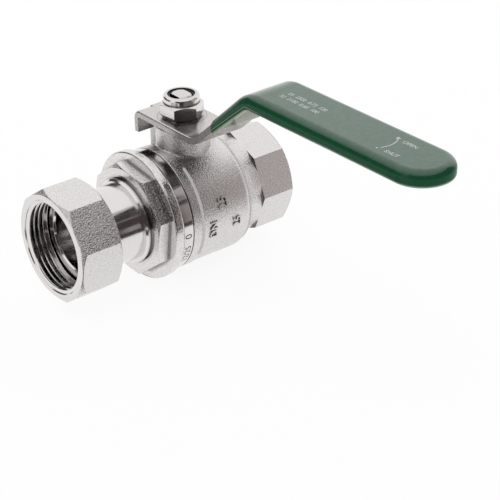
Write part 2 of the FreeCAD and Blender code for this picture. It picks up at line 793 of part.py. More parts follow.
def lever_sleeve():
    """Soft sleeve over the handle: rounded shoulders above, skirts and a shallow hollow below."""
    end_u = handle_end + over
    solid = side_solid(sleeve_outline(end_u), -sleeve_half, sleeve_half)
    solid = solid.common(rounded_end(sleeve_half, handle_end))
    solid = solid.makeFillet(sleeve_round, skin_edges(solid, 1))
    solid = solid.makeFillet(lip_round, skin_edges(solid, -1))
    solid = solid.cut(lip_hollow(end_u)).cut(steel_core(sleeve_fit)).cut(vent())
    return solid.common(beyond_mouth(0.0))


def save(shape, name):
    moved = shape.copy()
    moved.translate(V(origin_inset - outlet_x, 0, 0))
    moved.exportStep("parts/" + name + ".step")


save(valve_body(), "valve_body")
save(end_cap(), "end_cap")
save(union_tail(), "union_tail")
save(union_nut(), "union_nut")
save(seat_ring(-1), "seat_ring_inlet")
save(seat_ring(1), "seat_ring_outlet")
save(end_cap_seal(), "end_cap_seal")
save(ball(), "ball")
save(stem(), "stem")
save(stem_ring(ring_low_z), "stem_o_ring_lower")
save(stem_ring(ring_high_z), "stem_o_ring_upper")
save(stem_thrust_washer(), "stem_thrust_washer")
save(lever(), "lever")
save(lever_sleeve(), "lever_sleeve")
save(lever_lock_nut(), "lever_lock_nut")
save(lock_nut_insert(), "lock_nut_insert")
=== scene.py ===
import math
import bmesh
import bpy
from mathutils import Matrix, Vector


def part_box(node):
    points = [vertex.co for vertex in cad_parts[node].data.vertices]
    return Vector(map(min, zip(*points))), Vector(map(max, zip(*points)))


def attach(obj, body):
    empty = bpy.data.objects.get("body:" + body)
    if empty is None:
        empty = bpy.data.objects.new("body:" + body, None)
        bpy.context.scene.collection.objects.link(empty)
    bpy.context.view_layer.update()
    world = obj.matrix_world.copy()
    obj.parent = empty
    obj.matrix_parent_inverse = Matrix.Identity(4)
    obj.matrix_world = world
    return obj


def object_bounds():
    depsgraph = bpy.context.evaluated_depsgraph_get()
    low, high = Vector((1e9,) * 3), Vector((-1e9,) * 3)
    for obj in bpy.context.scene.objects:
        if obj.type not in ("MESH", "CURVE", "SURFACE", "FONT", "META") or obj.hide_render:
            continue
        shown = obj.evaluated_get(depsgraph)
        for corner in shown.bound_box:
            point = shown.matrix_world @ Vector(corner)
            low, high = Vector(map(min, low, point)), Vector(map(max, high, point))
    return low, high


# Looks of an isolating valve with a union nut, a female outlet and a green sleeved lever.
# Lengths are metres in the frame of the solids: the pipe runs along X, the stem along Z, the shut lever towards -Y.
MM = 0.001

# Where the stem stands in the frame
STEM_X = -41.95 * MM

# The photograph's camera
CAMERA_PLACE = Vector((-0.455512, -0.567140, 0.357482))
CAMERA_AZIMUTH = math.radians(-37.336)
CAMERA_ELEVATION = math.radians(28.124)
CAMERA_ROLL = math.radians(-1.649)
CAMERA_LENS = 126.32
CAMERA_SHIFT = (0.0601, -0.0377)

# Studio: its white, the greys of its flags and cards, and its levels of light
WHITE = (1.0, 1.0, 1.0)
FLOOR_WHITE = (0.92, 0.92, 0.92)
FLAG_DARK = (0.055, 0.043, 0.045)
FLAG_GREY = (0.26, 0.23, 0.23)
CARD_GREY = (0.47, 0.43, 0.425)
BAND_GREY = (0.33, 0.30, 0.295)
FLOOR_SIZE = 3.0
FILL_LEVEL = 0.45
FLOOR_GLOW = 1.06
FLOOR_SHARE = 0.86
LAMP_RADIANCE = 1.0
FRONT_AZIMUTHS = (-168.0, -14.0)
FLAG_REACH = 1.35
CARD_Y = -0.11
CARD_GAP = 0.001

# Metals, the lighter tone of each on edges (partly wear, partly painted highlight), and the near-white of the beads'
# painted highlight
NICKEL = (0.800, 0.780, 0.768)
NICKEL_WEAR_AND_SHEEN = (0.880, 0.865, 0.850)
BRIGHT_NICKEL = (0.760, 0.742, 0.732)
BRIGHT_WEAR_AND_SHEEN = (0.860, 0.845, 0.830)
BEAD_HIGHLIGHT_WHITE = (1.000, 0.955, 0.950)
STEEL = (0.680, 0.655, 0.645)
STEEL_WEAR_AND_SHEEN = (0.840, 0.825, 0.810)

# Dark tones: open seams, painted shade in hollows and on undersides, the painted shade that shiny metal reflects,
# and the strip's tone on faces that look up, its painted shade past the bend and its nut mark
SEAM_DARK = (0.020, 0.016, 0.017)
HOLLOW_SHADE_BROWN = (0.060, 0.047, 0.046)
REFLECTED_SHADE_BROWN = (0.060, 0.050, 0.050)
STRIP_UPWARD_TONE = (0.34, 0.315, 0.31)
BEND_PAINTED_SHADE = (0.10, 0.088, 0.086)
NUT_MARK = (0.10, 0.09, 0.09)

# Plastics, rubber and print, with the sleeve's painted underside light and painted lip highlight
SLEEVE_GREEN = (0.012, 0.108, 0.047)
SLEEVE_UNDERSIDE_LIGHT = (0.24, 0.33, 0.18)
SLEEVE_LIP_HIGHLIGHT = (0.28, 0.42, 0.32)
INSERT_BLACK = (0.020, 0.018, 0.018)
SEAT_WHITE = (0.82, 0.82, 0.79)
RUBBER_BLACK = (0.022, 0.022, 0.022)
PRINT_SILVER = (0.84, 0.88, 0.86)
ENGRAVED_DARK = (0.045, 0.040, 0.040)

# Front of the neck, where the painted shade of the hollows is mostly lifted so it stays light under the lever: where
# it starts in height, and along the pipe
NECK_FROM_Z = (28.0 * MM, 31.0 * MM)
NECK_FROM_X = (-51.5 * MM, -49.0 * MM)

# Strip: where the painted shade on its sheared edges starts near the lower bend, its top at the stem, and the ring
# that the lock nut marks on it
BEND_FROM_Y = (-7.0 * MM, -14.0 * MM)
STRIP_TOP = 40.0 * MM
NUT_MARK_R = (10.75 * MM, 11.0 * MM)

# Sleeve: where the rise turns into the handle, and the lip round its lower edge
HANDLE_FROM_Y = (-68.0 * MM, -74.0 * MM)
HANDLE_BOTTOM = 67.54 * MM
RISE_SLOPE = math.radians(39.1)
LIP_WIDE = 1.5 * MM
LIP_RISE_LINE = 13.8 * MM

# Union thread, outlet thread and the inch thread form they share. Each span is measured from the thread's mouth.
THREAD_PITCH = 2.309 * MM
THREAD_DEEP = 1.479 * MM
THREAD_STEPS = 60
THREAD_FORM = [(-0.47, 0.12), (-0.10, -0.94), (0.0, -1.0), (0.10, -0.94), (0.47, 0.12)]
NUT_THREAD_R = 20.955 * MM
NUT_THREAD_SPAN = (0.5 * MM, 10.7 * MM)
OUTLET_THREAD_R = 16.62 * MM
OUTLET_THREAD_SPAN = (-15.9 * MM, -0.8 * MM)

# Within these distances of the pipe line the castings are turned
BODY_BORE_R = 18.6 * MM
CAP_BORE_R = 20.5 * MM
NUT_BORE_R = 21.7 * MM

# Machined band of the end cap, the seams beside it, the body's skin under its marks, and its beads
BAND_LONG = 5.3 * MM
BAND_R = 27.9 * MM
SEAM_HALF = 0.26 * MM
BODY_SKIN_R = 27.5 * MM
BEAD_WIDE = 1.5 * MM

# Thickness of the band's marks and of the cast ones, half of it sunk in the surface
BAND_MARK_THICK = 0.03 * MM
CAST_MARK_THICK = 1.3 * MM

# Print on the handle
PRINT_SIZE = 2.9 * MM
PRINT_THICK = 0.04 * MM
PRINT_STROKE = 0.018
ARROW_MIDDLE = Vector((-43.46, -124.46, 0.0)) * MM
ARROW_R = 9.39 * MM
ARROW_HALF = 0.26 * MM
ARROW_ENDS = (math.radians(-116.0), math.radians(-52.0))


def add(tree, kind, inputs=None, **settings):
    """A node with its settings, its input values and its links."""
    node = tree.nodes.new(kind)
    for key, value in settings.items():
        setattr(node, key, value)
    for key, value in (inputs or {}).items():
        if isinstance(value, bpy.types.NodeSocket):
            tree.links.new(value, node.inputs[key])
        else:
            node.inputs[key].default_value = value
    return node


def calc(tree, operation, *values):
    """Result of one sum on values or sockets."""
    return add(tree, "ShaderNodeMath", dict(enumerate(values)), operation=operation).outputs[0]


def plus(tree, first, second):
    return calc(tree, "ADD", first, second)


def less(tree, first, second):
    return calc(tree, "SUBTRACT", first, second)


def times(tree, first, second):
    return calc(tree, "MULTIPLY", first, second)


def larger(tree, first, second):
    return calc(tree, "MAXIMUM", first, second)


def smooth(tree, value, low, high, to_low=0.0, to_high=1.0):
    """A value eased from one range into another."""
    inputs = {"Value": value, "From Min": low, "From Max": high, "To Min": to_low, "To Max": to_high}
    return add(tree, "ShaderNodeMapRange", inputs, interpolation_type="SMOOTHSTEP").outputs["Result"]


def noise(tree, vector, scale, detail, **more):
    inputs = {"Vector": vector, "Scale": scale, "Detail": detail, **more}
    return add(tree, "ShaderNodeTexNoise", inputs).outputs[0]


def line_noise(tree, place, scale, **more):
    """Noise along a single line."""
    return add(tree, "ShaderNodeTexNoise", {"Scale": scale, "W": place, **more}, noise_dimensions="1D").outputs[0]


def blend_values(tree, share, first, second):
    return add(tree, "ShaderNodeMix", {0: share, 2: first, 3: second}, data_type="FLOAT").outputs[0]


def blend_colours(tree, share, first, second):
    """Mix of two colours, given as triples or sockets."""
    inputs = {0: share}
    for place, colour in ((6, first), (7, second)):
        inputs[place] = colour if isinstance(colour, bpy.types.NodeSocket) else (*colour, 1.0)
    return add(tree, "ShaderNodeMix", inputs, data_type="RGBA").outputs[2]


def tint(tree, colour, other, mask, share):
    """A colour turned towards another by a share, where the mask is 1."""
    return blend_colours(tree, times(tree, mask, share), colour, other)


def shade(colour, share):
    """A colour made darker."""
    return tuple(share * part for part in colour)


def raised(tree, base, mask, rise):
    """A value raised from its base where the mask is 1."""
    return plus(tree, times(tree, mask, rise), base)


def parts(tree, vector):
    """The X, Y and Z of a place or a direction."""
    return add(tree, "ShaderNodeSeparateXYZ", {0: vector}).outputs


def from_line(tree, first, second):
    """Distance from a line, by the two places square to it."""
    squares = plus(tree, calc(tree, "POWER", first, 2.0), calc(tree, "POWER", second, 2.0))
    return calc(tree, "SQRT", squares)


def face_normal(tree):
    return add(tree, "ShaderNodeNewGeometry").outputs["Normal"]


def own_facing(tree):
    """The X, Y and Z of the way a face looks, which turn with the lever."""
    own = add(tree, "ShaderNodeVectorTransform", {0: face_normal(tree)}, vector_type="NORMAL",
              convert_from="WORLD", convert_to="OBJECT").outputs[0]
    return parts(tree, own)


def shade_in_reflections(tree, colour, share):
    """Painted reflection shade: a colour that shows brown to whatever shiny metal reflects it."""
    reflected = tree.nodes.new("ShaderNodeLightPath").outputs["Is Glossy Ray"]
    return tint(tree, colour, REFLECTED_SHADE_BROWN, reflected, share)


def new_group(name, inputs, outputs):
    """A node group with named inputs, each with its usual value, and named outputs."""
    tree = bpy.data.node_groups.new(name, "ShaderNodeTree")
    for label, kind, value in inputs:
        socket = tree.interface.new_socket(name=label, in_out="INPUT", socket_type=kind)
        if value is not None:
            socket.default_value = value
    for label, kind in outputs:
        tree.interface.new_socket(name=label, in_out="OUTPUT", socket_type=kind)
    entry = tree.nodes.new("NodeGroupInput")
    leave = tree.nodes.new("NodeGroupOutput")
    return tree, entry.outputs, leave.inputs


def use(tree, group, **inputs):
    """The outputs of a group placed in a material with its own values."""
    node = tree.nodes.new("ShaderNodeGroup")
    node.node_tree = group
    for key, value in inputs.items():
        if isinstance(value, bpy.types.NodeSocket):
            tree.links.new(value, node.inputs[key])
        else:
            node.inputs[key].default_value = value
    return node.outputs


def span_group():
    """1 where a value lies between two others."""
    floats = [(label, "NodeSocketFloat", 0.0) for label in ("Value", "From", "To", "Soft")]
    tree, entry, leave = new_group("span", floats, [("Mask", "NodeSocketFloat")])
    value, start, end, soft = (entry[label] for label in ("Value", "From", "To", "Soft"))
    rise = smooth(tree, value, less(tree, start, soft), plus(tree, start, soft))
    fall = smooth(tree, value, less(tree, end, soft), plus(tree, end, soft))
    tree.links.new(times(tree, rise, less(tree, 1.0, fall)), leave["Mask"])
    return tree


def grain_group():
    """Sand texture of a blasted casting."""
    inputs = [("Vector", "NodeSocketVector", None), ("Grain", "NodeSocketFloat", 0.7 * MM)]
    outputs = [("Height", "NodeSocketFloat"), ("Speckle", "NodeSocketFloat")]
    tree, entry, leave = new_group("cast grain", inputs, outputs)
    scale = calc(tree, "DIVIDE", 1.0, entry["Grain"])
    sand = noise(tree, entry["Vector"], scale, 2.0, Roughness=0.62)
    pits = add(tree, "ShaderNodeTexVoronoi", {"Vector": entry["Vector"], "Scale": times(tree, scale, 0.55)},
               feature="SMOOTH_F1")
    dents = smooth(tree, pits.outputs["Distance"], 0.05, 0.45)
    patches = noise(tree, entry["Vector"], times(tree, scale, 0.95), 1.0)
    tree.links.new(times(tree, sand, blend_values(tree, 0.35, 1.0, dents)), leave["Height"])
    tree.links.new(smooth(tree, patches, 0.42, 0.57), leave["Speckle"])
    return tree


def ring_group():
    """Fine rings that a lathe tool leaves along an axis."""
    inputs = [("Along", "NodeSocketFloat", 0.0), ("Pitch", "NodeSocketFloat", 0.2 * MM)]
    outputs = [("Height", "NodeSocketFloat"), ("Shade", "NodeSocketFloat")]
    tree, entry, leave = new_group("turning rings", inputs, outputs)
    turns = calc(tree, "DIVIDE", entry["Along"], entry["Pitch"])
    rings = line_noise(tree, turns, 1.0, Detail=3.0, Roughness=0.7)
    bands = line_noise(tree, turns, 0.13, Detail=2.0)
    tree.links.new(rings, leave["Height"])
    tree.links.new(smooth(tree, bands, 0.35, 0.65), leave["Shade"])
    return tree


def handling_group():
    """Faint smears and small scratches from handling."""
    inputs = [("Vector", "NodeSocketVector", None), ("Size", "NodeSocketFloat", 9.0 * MM)]
    outputs = [("Smear", "NodeSocketFloat"), ("Scratch", "NodeSocketFloat")]
    tree, entry, leave = new_group("handling", inputs, outputs)
    scale = calc(tree, "DIVIDE", 1.0, entry["Size"])
    clouds = noise(tree, entry["Vector"], scale, 4.0, Distortion=0.6)
    stretched = add(tree, "ShaderNodeMapping", {"Vector": entry["Vector"], "Rotation": (0.4, 0.5, 0.7),
                                                "Scale": (1.0, 14.0, 3.0)}).outputs[0]
    lines = noise(tree, stretched, times(tree, scale, 1.6), 2.0)
    tree.links.new(smooth(tree, clouds, 0.35, 0.68), leave["Smear"])
    tree.links.new(smooth(tree, lines, 0.64, 0.74), leave["Scratch"])
    return tree


def edge_group():
    """Edges as slightly rounded: the rounded normal, and 1 on the edges."""
    inputs = [("Radius", "NodeSocketFloat", 0.3 * MM)]
    outputs = [("Normal", "NodeSocketVector"), ("Edge", "NodeSocketFloat")]
    tree, entry, leave = new_group("rounded edge", inputs, outputs)
    rounded = add(tree, "ShaderNodeBevel", {"Radius": entry["Radius"]}, samples=6).outputs[0]
    alike = add(tree, "ShaderNodeVectorMath", {0: rounded, 1: face_normal(tree)}, operation="DOT_PRODUCT")
    tree.links.new(rounded, leave["Normal"])
    tree.links.new(smooth(tree, alike.outputs["Value"], 0.995, 0.90), leave["Edge"])
    return tree


def hollow_group():
    """Mask for painted shade: 1 deep in hollows and beside walls, 0 in the open."""
    inputs = [("Reach", "NodeSocketFloat", 5.0 * MM), ("Low", "NodeSocketFloat", 0.35),
              ("High", "NodeSocketFloat", 0.85)]
    tree, entry, leave = new_group("hollow", inputs, [("Shade", "NodeSocketFloat")])
    open_sky = add(tree, "ShaderNodeAmbientOcclusion", {"Distance": entry["Reach"]}, samples=8).outputs["AO"]
    tree.links.new(smooth(tree, open_sky, entry["Low"], entry["High"], 1.0, 0.0), leave["Shade"])
    return tree


def between(tree, groups, value, low, high, soft):
    """1 where a value lies between two others."""
    return use(tree, groups["span"], Value=value, From=low, To=high, Soft=soft)["Mask"]


def start_material(name):
    """A material with its tree, shader and the object's own coordinates."""
    mat = bpy.data.materials.new(name)
    mat.use_nodes = True
    tree = mat.node_tree
    coords = add(tree, "ShaderNodeTexCoord").outputs["Object"]
    return mat, tree, tree.nodes["Principled BSDF"], coords


def feed(tree, shader, **sockets):
    """Links or sets the shader's inputs by name."""
    for key, value in sockets.items():
        socket = shader.inputs[key.replace("_", " ")]
        if isinstance(value, bpy.types.NodeSocket):
            tree.links.new(value, socket)
        else:
            socket.default_value = value


def bumped(tree, height, distance, normal):
    inputs = {"Height": height, "Distance": distance, "Strength": 1.0, "Normal": normal}
    return add(tree, "ShaderNodeBump", inputs).outputs[0]


def turned_mask(tree, groups, x, radius, spans, bore_r):
    """1 on the lathe-turned parts: spans along the pipe, and everything nearer the pipe line than bore_r."""
    mask = smooth(tree, radius, bore_r - 0.1 * MM, bore_r + 0.1 * MM, 1.0, 0.0)
    for low, high in spans:
        mask = larger(tree, mask, between(tree, groups, x, low, high, 0.08 * MM))
    return mask


def cast_hollows(tree, groups, place, reach):
    """How much painted shade darkens the hollows of a casting, less on the front of the neck."""
    hollow = use(tree, groups["hollow"], Reach=reach)["Shade"]
    neck = times(tree, smooth(tree, place["Z"], *NECK_FROM_Z), smooth(tree, place["X"], *NECK_FROM_X))
    return times(tree, hollow, less(tree, 0.9, times(tree, neck, 0.75)))


def cast_and_turned(name, groups, spans, bore_r, seams=(), rough=0.30,
                    grain=0.60 * MM, deep=0.20 * MM, hollow_reach=6.0 * MM, dark=0.93):
    """Nickel plate over a blasted casting: turned smooth on some spans and dark at seams, with painted shade in its
    hollows and edges lightened partly by wear and partly by painted highlight.
    """
    mat, tree, shader, coords = start_material(name)
    place = parts(tree, coords)
    radius = from_line(tree, place["Y"], place["Z"])
    sand = use(tree, groups["grain"], Vector=coords, Grain=grain)
    rings = use(tree, groups["rings"], Along=plus(tree, place["X"], radius), Pitch=0.22 * MM)
    smears = use(tree, groups["handling"], Vector=coords)
    edge = use(tree, groups["edge"], Radius=0.28 * MM)
    turned = turned_mask(tree, groups, place["X"], radius, spans, bore_r)
    cast_colour = blend_colours(tree, sand["Speckle"], shade(NICKEL, dark), NICKEL)
    turned_colour = blend_colours(tree, rings["Shade"], shade(BRIGHT_NICKEL, 0.96), BRIGHT_NICKEL)
    colour = blend_colours(tree, turned, cast_colour, turned_colour)
    # Painted shade: the hollows are turned towards a dark brown.
    colour = blend_colours(tree, cast_hollows(tree, groups, place, hollow_reach), colour, HOLLOW_SHADE_BROWN)
    # Edges lightened, partly wear and partly painted highlight.
    colour = tint(tree, colour, NICKEL_WEAR_AND_SHEEN, edge["Edge"], 0.7)
    for seam in seams:
        gap = between(tree, groups, place["X"], seam - SEAM_HALF, seam + SEAM_HALF, 0.06 * MM)
        colour = blend_colours(tree, gap, colour, SEAM_DARK)
    cast_rough = blend_values(tree, sand["Speckle"], rough - 0.08, rough + 0.12)
    turned_rough = raised(tree, 0.11, smears["Smear"], 0.07)
    plain_rough = blend_values(tree, turned, cast_rough, turned_rough)
    height = blend_values(tree, turned, sand["Height"], times(tree, rings["Height"], 0.002))
    feed(tree, shader, Base_Color=colour, Metallic=less(tree, 1.0, times(tree, edge["Edge"], 0.5)),
         Roughness=plus(tree, plain_rough, times(tree, smears["Scratch"], 0.06)),
         Normal=bumped(tree, height, deep, edge["Normal"]))
    return mat


def turned_nickel(name, groups, rough=0.10, rings_deep=0.0005 * MM, base=BRIGHT_NICKEL, metal=1.0):
    """Plain turned nickel, bright with fine rings."""
    mat, tree, shader, coords = start_material(name)
    place = parts(tree, coords)
    along = plus(tree, place["X"], from_line(tree, place["Y"], place["Z"]))
    rings = use(tree, groups["rings"], Along=along, Pitch=0.25 * MM)
    smears = use(tree, groups["handling"], Vector=coords)
    edge = use(tree, groups["edge"], Radius=0.22 * MM)
    colour = blend_colours(tree, rings["Shade"], shade(base, 0.985), base)
    # Edges lightened, partly wear and partly painted highlight.
    colour = tint(tree, colour, BRIGHT_WEAR_AND_SHEEN, edge["Edge"], 0.5)
    feed(tree, shader, Base_Color=colour, Metallic=metal, Roughness=raised(tree, rough, smears["Smear"], 0.06),
         Normal=bumped(tree, rings["Height"], rings_deep, edge["Normal"]))
    return mat


def upright_nickel(name, groups, rough):
    """Turned round the stem: the rings follow the height, with painted shade in the hollows."""
    mat, tree, shader, coords = start_material(name)
    smears = use(tree, groups["handling"], Vector=coords, Size=4.0 * MM)
    rings = use(tree, groups["rings"], Along=parts(tree, coords)["Z"], Pitch=0.2 * MM)
    edge = use(tree, groups["edge"], Radius=0.25 * MM)
    hollow = use(tree, groups["hollow"], Reach=6.0 * MM, Low=0.4, High=0.95)["Shade"]
    colour = blend_colours(tree, rings["Shade"], shade(BRIGHT_NICKEL, 0.90), BRIGHT_NICKEL)
    # Edges lightened, partly wear and partly painted highlight.
    colour = tint(tree, colour, BRIGHT_WEAR_AND_SHEEN, edge["Edge"], 0.5)
    # Painted shade in the hollows round the stem and under the lever.
    colour = tint(tree, colour, HOLLOW_SHADE_BROWN, hollow, 0.75)
    height = plus(tree, rings["Height"], smears["Scratch"])
    feed(tree, shader, Base_Color=colour, Metallic=1.0, Roughness=raised(tree, rough, smears["Smear"], 0.10),
         Normal=bumped(tree, height, 0.0018 * MM, edge["Normal"]))
    return mat


def strip_faces(tree, groups, sand, facing):
    """Colour of the strip's rolled faces: slightly darker on faces that look up, with painted shade on faces that
    look down and in hollows.
    """
    hollow = use(tree, groups["hollow"], Reach=6.0 * MM, Low=0.4, High=0.95)["Shade"]
    colour = blend_colours(tree, sand["Speckle"], shade(STEEL, 0.90), STEEL)
    # Slightly darker tone on faces that look up.
    colour = tint(tree, colour, STRIP_UPWARD_TONE, smooth(tree, facing["Z"], 0.6, 0.95), 0.05)
    # Painted shade on faces that look down and in the hollows.
    colour = tint(tree, colour, HOLLOW_SHADE_BROWN, smooth(tree, facing["Z"], -0.90, -0.98), 0.8)
    return tint(tree, colour, HOLLOW_SHADE_BROWN, hollow, 0.15)


def strip_edges(tree, streaks, y):
    """Colour of the strip's sheared edges: streaked, with painted shade from the lower bend on."""
    colour = blend_colours(tree, smooth(tree, streaks, 0.35, 0.65), shade(STEEL, 0.55), STEEL)
    # Painted shade on the sheared edges from the lower bend on.
    return tint(tree, colour, BEND_PAINTED_SHADE, smooth(tree, y, *BEND_FROM_Y), 0.62)


def nut_mark(tree, groups, place):
    """1 on the ring that the lock nut leaves on top of the strip."""
    from_stem = from_line(tree, less(tree, place["X"], STEM_X), place["Y"])
    ring = between(tree, groups, from_stem, *NUT_MARK_R, 0.12 * MM)
    return times(tree, ring, smooth(tree, place["Z"], STRIP_TOP, STRIP_TOP + 0.3 * MM))


def lever_steel(groups):
    """Plated strip: rolled faces, coarser sheared edges and the round mark left by the nut."""
    mat, tree, shader, coords = start_material("plated_strip")
    place = parts(tree, coords)
    facing = own_facing(tree)
    edge = use(tree, groups["edge"], Radius=0.35 * MM)
    smears = use(tree, groups["handling"], Vector=coords, Size=7.0 * MM)
    sand = use(tree, groups["grain"], Vector=coords, Grain=0.45 * MM)
    sheared = smooth(tree, calc(tree, "ABSOLUTE", facing["X"]), 0.55, 0.85)
    drawn_out = add(tree, "ShaderNodeMapping", {"Vector": coords, "Scale": (1.0, 1.0, 0.12)}).outputs[0]
    streaks = noise(tree, drawn_out, 3600.0, 2.0)
    colour = blend_colours(tree, sheared, strip_faces(tree, groups, sand, facing),
                           strip_edges(tree, streaks, place["Y"]))
    colour = tint(tree, colour, NUT_MARK, nut_mark(tree, groups, place), 0.55)
    # Edges lightened, partly wear and partly painted highlight.
    colour = tint(tree, colour, STEEL_WEAR_AND_SHEEN, edge["Edge"], 0.5)
    rough = blend_values(tree, sheared, raised(tree, 0.26, smears["Smear"], 0.08), 0.40)
    height = blend_values(tree, sheared, times(tree, sand["Height"], 0.25), streaks)
    # Painted reflection shade: shiny metal sees the strip brown.
    feed(tree, shader, Base_Color=shade_in_reflections(tree, colour, 0.8), Metallic=1.0, Roughness=rough,
         Normal=bumped(tree, height, 0.03 * MM, edge["Normal"]))
    return mat


def lip_flare(tree, y, z):
    """How far the lip round the sleeve's lower edge flares: 0 at its upper line, 1 at the edge."""
    above_flat = less(tree, z, HANDLE_BOTTOM)
    across = plus(tree, times(tree, y, math.sin(RISE_SLOPE)), times(tree, z, math.cos(RISE_SLOPE)))
    above = larger(tree, above_flat, less(tree, across, LIP_RISE_LINE))
    inputs = {"Value": above, "From Min": 0.0, "From Max": LIP_WIDE, "To Min": 1.0, "To Max": 0.0}
    return add(tree, "ShaderNodeMapRange", inputs).outputs["Result"]


def lip_parts(tree, groups, coords):
    """The lip that curls along the handle, and the ridge that it is along the rise."""
    place = parts(tree, coords)
    flare = lip_flare(tree, place["Y"], place["Z"])
    on_handle = smooth(tree, place["Y"], *HANDLE_FROM_Y)
    ridge = between(tree, groups, flare, 0.04, 0.22, 0.04)
    return times(tree, flare, on_handle), times(tree, ridge, less(tree, 1.0, on_handle))


def sleeve_plastic(groups):
    """Glossy green soft plastic with a faint skin, painted light on faces that look down and a painted highlight
    along its lower lip.
    """
    mat, tree, shader, coords = start_material("green_sleeve")
    skin = noise(tree, coords, 420.0, 3.0)
    smears = use(tree, groups["handling"], Vector=coords, Size=16.0 * MM)
    edge = use(tree, groups["edge"], Radius=0.3 * MM)
    curled, ridge = lip_parts(tree, groups, coords)
    painted_highlight = larger(tree, smooth(tree, curled, 0.20, 0.55), ridge)
    colour = blend_colours(tree, smooth(tree, skin, 0.3, 0.7), shade(SLEEVE_GREEN, 0.86), SLEEVE_GREEN)
    # Painted light on faces that look down.
    colour = blend_colours(tree, smooth(tree, own_facing(tree)["Z"], -0.35, -0.55), colour, SLEEVE_UNDERSIDE_LIGHT)
    # Painted highlight along the lower lip and the ridge of the rise.
    colour = tint(tree, colour, SLEEVE_LIP_HIGHLIGHT, painted_highlight, 0.9)
    height = less(tree, times(tree, skin, 0.05), times(tree, curled, 1.1))
    height = plus(tree, height, times(tree, ridge, 0.3))
    upright = calc(tree, "ABSOLUTE", parts(tree, face_normal(tree))["Z"])
    on_lip = larger(tree, times(tree, ridge, 0.5), smooth(tree, curled, 0.0, 0.45))
    coat = larger(tree, smooth(tree, upright, 0.35, 0.95, 0.06, 1.0), on_lip)
    coat = times(tree, coat, smooth(tree, skin, 0.35, 0.65, 0.92, 1.0))
    # Painted reflection shade: shiny metal sees the sleeve brown.
    feed(tree, shader, Base_Color=shade_in_reflections(tree, colour, 0.9),
         Roughness=raised(tree, 0.20, smears["Smear"], 0.06), Coat_Weight=coat,
         Normal=bumped(tree, height, 0.6 * MM, edge["Normal"]))
    feed(tree, shader, Coat_Roughness=0.12, Coat_IOR=1.74, IOR=1.42, Specular_IOR_Level=0.12)
    return mat


def plain_plastic(name, groups, colour, rough, grain=0.5 * MM):
    """Moulded plastic or rubber with a fine skin and slight mottle."""
    mat, tree, shader, coords = start_material(name)
    sand = use(tree, groups["grain"], Vector=coords, Grain=grain)
    smears = use(tree, groups["handling"], Vector=coords, Size=5.0 * MM)
    feed(tree, shader, Base_Color=blend_colours(tree, smears["Smear"], shade(colour, 0.88), colour),
         Roughness=raised(tree, rough, sand["Speckle"], 0.08),
         Normal=bumped(tree, sand["Height"], 0.01 * MM, face_normal(tree)))
    return mat


def print_ink():
    """Silver print, thin and a little patchy."""
    mat, tree, shader, coords = start_material("silver_print")
    wear = noise(tree, coords, 2600.0, 3.0)
    colour = blend_colours(tree, smooth(tree, wear, 0.38, 0.62), shade(PRINT_SILVER, 0.72), PRINT_SILVER)
    feed(tree, shader, Base_Color=colour, Roughness=smooth(tree, wear, 0.3, 0.7, 0.35, 0.5))
    return mat


def place_camera():
    """The camera at the photograph's place, angle and framing."""
    ca, sa = math.cos(CAMERA_AZIMUTH), math.sin(CAMERA_AZIMUTH)
    ce, se = math.cos(CAMERA_ELEVATION), math.sin(CAMERA_ELEVATION)
    back = Vector((sa * ce, -ca * ce, se))
    right = Vector((ca, sa, 0.0))
    up = back.cross(right)
    cr, sr = math.cos(CAMERA_ROLL), math.sin(CAMERA_ROLL)
    turn = Matrix((right * cr + up * sr, up * cr - right * sr, back)).transposed()
    data = bpy.data.cameras.new("photo_camera")
    data.sensor_width = 36.0
    data.sensor_fit = "HORIZONTAL"
    data.lens = CAMERA_LENS
    data.shift_x, data.shift_y = CAMERA_SHIFT
    data.clip_start = 0.01
    camera = bpy.data.objects.new("photo_camera", data)
    camera.matrix_world = Matrix.Translation(CAMERA_PLACE) @ turn.to_4x4()
    bpy.context.scene.collection.objects.link(camera)
    bpy.context.scene.camera = camera


def seen_directly(tree):
    """1 for rays from the camera, from gloss and through glass."""
    path = tree.nodes.new("ShaderNodeLightPath").outputs
    return larger(tree, larger(tree, path["Is Camera Ray"], path["Is Glossy Ray"]), path["Is Transmission Ray"])


def light_world():
    """A white room, at full level only where it is seen directly."""
    world = bpy.data.worlds.new("studio")
    bpy.context.scene.world = world
    world.use_nodes = True
    tree = world.node_tree
    back = tree.nodes["Background"]
    back.inputs["Color"].default_value = (*WHITE, 1.0)
    level = raised(tree, FILL_LEVEL, seen_directly(tree), 1.0 - FILL_LEVEL)
    tree.links.new(level, back.inputs["Strength"])


def studio_piece(bm, name):
    """A piece of the studio with an empty material: the object, the material's tree and its surface input."""
    mesh = bpy.data.meshes.new(name)
    bm.to_mesh(mesh)
    bm.free()
    piece = bpy.data.objects.new(name, mesh)
    bpy.context.scene.collection.objects.link(piece)
    mat = bpy.data.materials.new(name)
    mat.use_nodes = True
    tree = mat.node_tree
    tree.nodes.remove(tree.nodes["Principled BSDF"])
    mesh.materials.append(mat)
    return piece, tree, tree.nodes["Material Output"].inputs["Surface"]


def lay_floor(z):
    """Plain white floor that keeps the object's shadow."""
    bm = bmesh.new()
    bmesh.ops.create_grid(bm, x_segments=1, y_segments=1, size=FLOOR_SIZE)
    bmesh.ops.translate(bm, verts=bm.verts, vec=(0.0, 0.0, z))
    floor, tree, surface = studio_piece(bm, "floor")
    matt = add(tree, "ShaderNodeBsdfDiffuse", {"Color": (*FLOOR_WHITE, 1.0)})
    glow = add(tree, "ShaderNodeEmission", {"Color": (*WHITE, 1.0), "Strength": FLOOR_GLOW})
    share = times(tree, seen_directly(tree), FLOOR_SHARE)
    mix = add(tree, "ShaderNodeMixShader", {0: share, 1: matt.outputs[0], 2: glow.outputs[0]})
    tree.links.new(mix.outputs[0], surface)


